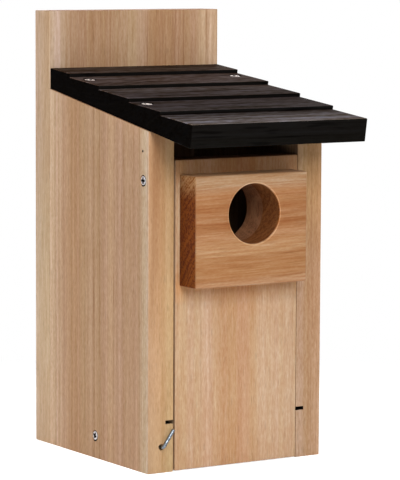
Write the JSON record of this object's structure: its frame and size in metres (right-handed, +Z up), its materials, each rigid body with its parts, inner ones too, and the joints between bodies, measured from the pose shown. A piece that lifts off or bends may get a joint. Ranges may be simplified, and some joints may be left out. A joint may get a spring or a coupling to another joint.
{
  "type": "bluebird house",
  "caption": "Cedar nest box with a tall back board, stepped dark roof, guarded round entrance, tilting clean-out door and wire latch.",
  "frame": {"origin": "middle of the overall footprint, on the ground", "axes": "+Z up, +Y from the door to the back board, +X to the right as seen from the front"},
  "size_m": [0.131, 0.1926, 0.2867],
  "materials": {
    "cedar": "planed, unfinished",
    "guard_wood": "planed, unfinished",
    "roof_stain": "dark stain",
    "mesh_wire": "zinc plated",
    "hook_steel": "zinc plated",
    "screw_steel": "zinc plated"
  },
  "bodies": {
    "house": {"back_board": "cedar", "left_side": "cedar", "right_side": "cedar", "floor_board": "cedar", "roof_board": "roof_stain", "mesh_floor": "mesh_wire", "roof_screw_front_left": "screw_steel", "roof_screw_rear_left": "screw_steel", "roof_screw_rear_right": "screw_steel", "floor_screw_left": "screw_steel", "floor_screw_right": "screw_steel", "back_screw_lower_left": "screw_steel", "back_screw_lower_right": "screw_steel", "back_screw_upper_left": "screw_steel", "back_screw_upper_right": "screw_steel", "back_screw_floor": "screw_steel"},
    "door": {"front_door": "cedar", "guard_block": "guard_wood", "pivot_screw_left": "screw_steel", "pivot_screw_right": "screw_steel", "guard_screw_left": "screw_steel", "guard_screw_right": "screw_steel"},
    "latch": {"latch_hook": "hook_steel"}
  },
  "joints": [
    {"name": "door_swing", "type": "hinge", "parent": "house", "child": "door", "pos_m": [0, -0.03965, 0.1842], "axis": [-1, 0, 0], "range_deg": [0, 83]},
    {"name": "latch_turn", "type": "hinge", "parent": "house", "child": "latch", "pos_m": [-0.0553, -0.04675, 0.0162], "axis": [0, -1, 0], "range_deg": [-42, 34]}
  ]
}
